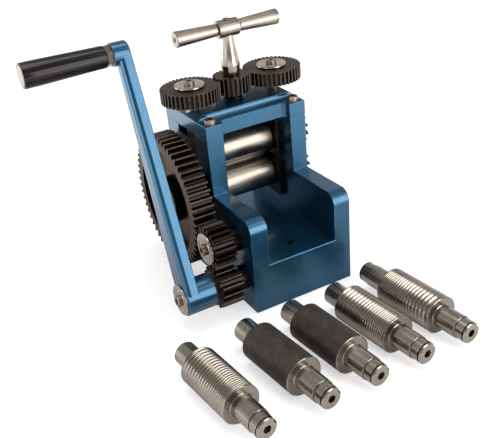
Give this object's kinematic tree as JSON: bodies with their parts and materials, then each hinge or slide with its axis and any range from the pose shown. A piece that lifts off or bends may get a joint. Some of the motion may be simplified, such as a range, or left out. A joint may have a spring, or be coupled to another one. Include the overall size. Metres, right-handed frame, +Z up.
{
  "type": "rolling mill",
  "caption": "Hand-cranked bench rolling mill: geared rolls in a cast housing with a tray, paired adjusting screws under a T-handle, and spare rolls laid in front.",
  "frame": {"origin": "centre of the two bench bolt holes, on the underside of the base casting", "axes": "+Z up; X runs along the rolls with the crank on the -X side; -Y is the tray side that faces the user"},
  "size_m": [0.3378, 0.3999, 0.3043],
  "materials": {
    "blue_enamel": "glossy enamel on cast iron",
    "blackened_steel": "oil-blackened, machined",
    "ground_steel": "hardened and ground",
    "turned_steel": "turned",
    "screw_steel": "oiled",
    "bronze": "machined",
    "black_plastic": "smooth"
  },
  "bodies": {
    "frame": {"base_casting": "blue_enamel", "top_cap": "blue_enamel", "cap_bolts": "screw_steel", "lower_block_left": "blackened_steel", "lower_block_right": "blackened_steel", "lower_bush_left": "bronze", "lower_bush_right": "bronze", "lift_springs": "turned_steel", "idler_stud": "turned_steel", "idler_washer": "turned_steel", "idler_screw": "screw_steel", "crank_bush": "bronze", "spindle_bush": "bronze"},
    "lower_roll_set": {"lower_roll": "ground_steel", "lower_coupling_gear": "blackened_steel", "lower_coupling_key": "screw_steel", "lower_coupling_screw": "screw_steel", "big_gear": "blackened_steel", "big_gear_key": "screw_steel", "big_gear_washer": "turned_steel", "big_gear_screw": "screw_steel"},
    "upper_bearings": {"upper_block_left": "blackened_steel", "upper_block_right": "blackened_steel", "upper_bush_left": "bronze", "upper_bush_right": "bronze"},
    "upper_roll_set": {"upper_roll": "ground_steel", "upper_coupling_gear": "blackened_steel", "upper_coupling_key": "screw_steel", "upper_coupling_screw": "screw_steel"},
    "idler": {"idler_gear": "blackened_steel", "idler_bush": "bronze"},
    "crank": {"drive_shaft": "turned_steel", "drive_pinion": "blackened_steel", "pinion_key": "screw_steel", "crank_arm": "blue_enamel", "crank_washer": "turned_steel", "crank_screw": "screw_steel", "grip_bolt": "turned_steel", "grip_nut": "blackened_steel"},
    "crank_grip": {"grip": "black_plastic", "grip_cap": "screw_steel"},
    "gap_handle": {"handle_spindle": "turned_steel", "spindle_ring": "turned_steel", "centre_pinion": "blackened_steel", "handle_hub": "turned_steel", "handle_bar_left": "turned_steel", "handle_bar_right": "turned_steel"},
    "left_adjuster": {"adjust_screw_left": "turned_steel", "adjust_gear_left": "blackened_steel", "adjust_washer_left": "turned_steel", "adjust_lock_screw_left": "screw_steel"},
    "right_adjuster": {"adjust_screw_right": "turned_steel", "adjust_gear_right": "blackened_steel", "adjust_washer_right": "turned_steel", "adjust_lock_screw_right": "screw_steel"},
    "spare_roll_1": {"spare_half_round_roll": "ground_steel"},
    "spare_roll_2": {"spare_pattern_roll_a": "ground_steel"},
    "spare_roll_3": {"spare_pattern_roll_b": "ground_steel"},
    "spare_roll_4": {"spare_wire_roll_a": "ground_steel"},
    "spare_roll_5": {"spare_wire_roll_b": "ground_steel"}
  },
  "joints": [
    {"name": "lower_roll_spin", "type": "hinge", "parent": "frame", "child": "lower_roll_set", "pos_m": [0, 0.036, 0.1], "axis": [1, 0, 0], "continuous": true},
    {"name": "idler_spin", "type": "hinge", "parent": "frame", "child": "idler", "pos_m": [-0.088, -0.06243, 0.08033], "axis": [1, 0, 0], "continuous": true},
    {"name": "crank_turn", "type": "hinge", "parent": "frame", "child": "crank", "pos_m": [-0.088, -0.0741, 0.03648], "axis": [1, 0, 0], "continuous": true},
    {"name": "grip_spin", "type": "hinge", "parent": "crank", "child": "crank_grip", "pos_m": [-0.2, 0.01603, 0.291], "axis": [1, 0, 0], "continuous": true},
    {"name": "roll_gap", "type": "slide", "parent": "frame", "child": "upper_bearings", "axis": [0, 0, 1], "range_m": [-0.0037, 0.0013], "deforming": ["lift_springs"]},
    {"name": "upper_roll_spin", "type": "hinge", "parent": "upper_bearings", "child": "upper_roll_set", "pos_m": [0, 0.036, 0.146], "axis": [1, 0, 0], "continuous": true},
    {"name": "handle_turn", "type": "hinge", "parent": "frame", "child": "gap_handle", "pos_m": [0, 0.036, 0.24], "axis": [0, 0, 1], "range_deg": [-500, 1421]},
    {"name": "left_screw_turn", "type": "hinge", "parent": "upper_bearings", "child": "left_adjuster", "pos_m": [-0.05395, 0.036, 0.2], "axis": [0, 0, 1], "range_deg": [-889, 313]},
    {"name": "right_screw_turn", "type": "hinge", "parent": "upper_bearings", "child": "right_adjuster", "pos_m": [0.05395, 0.036, 0.2], "axis": [0, 0, 1], "range_deg": [-889, 313]},
    {"name": "spare_roll_1_lift", "type": "slide", "parent": "frame", "child": "spare_roll_1", "axis": [0, 0, 1], "range_m": [0, 0.1]},
    {"name": "spare_roll_2_lift", "type": "slide", "parent": "frame", "child": "spare_roll_2", "axis": [0, 0, 1], "range_m": [0, 0.1]},
    {"name": "spare_roll_3_lift", "type": "slide", "parent": "frame", "child": "spare_roll_3", "axis": [0, 0, 1], "range_m": [0, 0.1]},
    {"name": "spare_roll_4_lift", "type": "slide", "parent": "frame", "child": "spare_roll_4", "axis": [0, 0, 1], "range_m": [0, 0.1]},
    {"name": "spare_roll_5_lift", "type": "slide", "parent": "frame", "child": "spare_roll_5", "axis": [0, 0, 1], "range_m": [0, 0.1]}
  ],
  "couplings": [
    {"joint": "crank_turn", "follows": "lower_roll_spin", "ratio": 3.5},
    {"joint": "idler_spin", "follows": "lower_roll_spin", "ratio": -3.2941},
    {"joint": "upper_roll_spin", "follows": "lower_roll_spin", "ratio": -1},
    {"joint": "handle_turn", "follows": "roll_gap", "rad_per_m": -6702.1},
    {"joint": "left_screw_turn", "follows": "roll_gap", "rad_per_m": 4188.8},
    {"joint": "right_screw_turn", "follows": "roll_gap", "rad_per_m": 4188.8}
  ]
}
